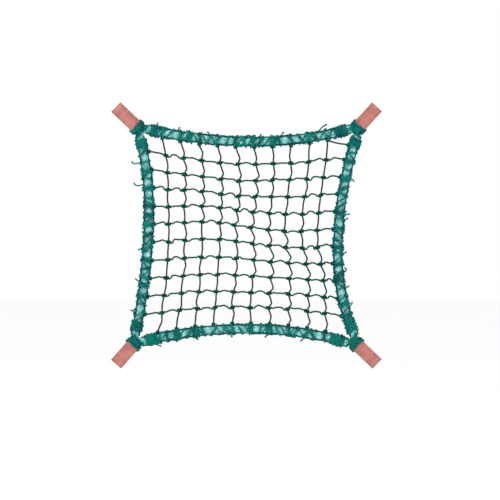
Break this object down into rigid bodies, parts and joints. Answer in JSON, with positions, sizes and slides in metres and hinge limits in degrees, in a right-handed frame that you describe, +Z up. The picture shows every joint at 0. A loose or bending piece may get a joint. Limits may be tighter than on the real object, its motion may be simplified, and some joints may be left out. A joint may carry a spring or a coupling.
{
  "type": "cargo climbing net",
  "caption": "Square knotted climbing net of green cord, laced into a braided rope border that is pulled in on all sides, with a webbing strap at each corner.",
  "frame": {"origin": "centre of the net and its four straps", "axes": "the net hangs in the XZ plane: +X to the right and +Z up when seen from the front, and its front faces -Y"},
  "size_m": [1.5178, 0.0586, 1.4932],
  "materials": {
    "net_cord": "twisted synthetic cord, matte with a slight sheen on the strands",
    "edge_cord": "twisted synthetic cord, darker green, matte",
    "lacing_cord": "twisted synthetic lacing cord, matte, frayed at its cut ends",
    "border_rope": "braided pale aqua rope with a soft satin sheen",
    "strap_webbing": "woven salmon webbing, matte, with sewn seams"
  },
  "bodies": {
    "net": {"vertical_cord_01": "net_cord", "vertical_cord_02": "net_cord", "vertical_cord_03": "net_cord", "vertical_cord_04": "net_cord", "vertical_cord_05": "net_cord", "vertical_cord_06": "net_cord", "vertical_cord_07": "net_cord", "vertical_cord_08": "net_cord", "vertical_cord_09": "net_cord", "vertical_cord_10": "net_cord", "horizontal_cord_01": "net_cord", "horizontal_cord_02": "net_cord", "horizontal_cord_03": "net_cord", "horizontal_cord_04": "net_cord", "horizontal_cord_05": "net_cord", "horizontal_cord_06": "net_cord", "horizontal_cord_07": "net_cord", "horizontal_cord_08": "net_cord", "horizontal_cord_09": "net_cord", "horizontal_cord_10": "net_cord", "knots_row_01": "net_cord", "knots_row_02": "net_cord", "knots_row_03": "net_cord", "knots_row_04": "net_cord", "knots_row_05": "net_cord", "knots_row_06": "net_cord", "knots_row_07": "net_cord", "knots_row_08": "net_cord", "knots_row_09": "net_cord", "knots_row_10": "net_cord", "corner_strand": "net_cord", "edge_knots_top": "net_cord", "edge_knots_right": "net_cord", "edge_knots_bottom": "net_cord", "edge_knots_left": "net_cord", "inner_edge_cord_top": "edge_cord", "inner_edge_cord_right": "edge_cord", "inner_edge_cord_bottom": "edge_cord", "inner_edge_cord_left": "edge_cord", "outer_edge_cord_top": "edge_cord", "outer_edge_cord_right": "edge_cord", "outer_edge_cord_bottom": "edge_cord", "outer_edge_cord_left": "edge_cord", "lacing_top": "lacing_cord", "lacing_right": "lacing_cord", "lacing_bottom": "lacing_cord", "lacing_left": "lacing_cord", "border_rope_top": "border_rope", "border_rope_right": "border_rope", "border_rope_bottom": "border_rope", "border_rope_left": "border_rope", "corner_bends": "border_rope", "corner_lashing_top_left": "lacing_cord", "corner_lashing_top_right": "lacing_cord", "corner_lashing_bottom_right": "lacing_cord", "corner_lashing_bottom_left": "lacing_cord"},
    "strap_top_left": {"corner_strap_top_left": "strap_webbing"},
    "strap_top_right": {"corner_strap_top_right": "strap_webbing"},
    "strap_bottom_right": {"corner_strap_bottom_right": "strap_webbing"},
    "strap_bottom_left": {"corner_strap_bottom_left": "strap_webbing"}
  },
  "joints": [
    {"name": "strap_swing_top_left", "type": "hinge", "parent": "net", "child": "strap_top_left", "pos_m": [-0.61918, 0, 0.61254], "axis": [0.6871, 0, 0.7265], "range_deg": [-45, 45]},
    {"name": "strap_swing_top_right", "type": "hinge", "parent": "net", "child": "strap_top_right", "pos_m": [0.63489, 0, 0.61578], "axis": [0.7355, 0, -0.6775], "range_deg": [-45, 45]},
    {"name": "strap_swing_bottom_right", "type": "hinge", "parent": "net", "child": "strap_bottom_right", "pos_m": [0.62405, 0, -0.61667], "axis": [-0.6891, 0, -0.7247], "range_deg": [-45, 45]},
    {"name": "strap_swing_bottom_left", "type": "hinge", "parent": "net", "child": "strap_bottom_left", "pos_m": [-0.63873, 0, -0.61582], "axis": [-0.7511, 0, 0.6602], "range_deg": [-45, 45]}
  ]
}
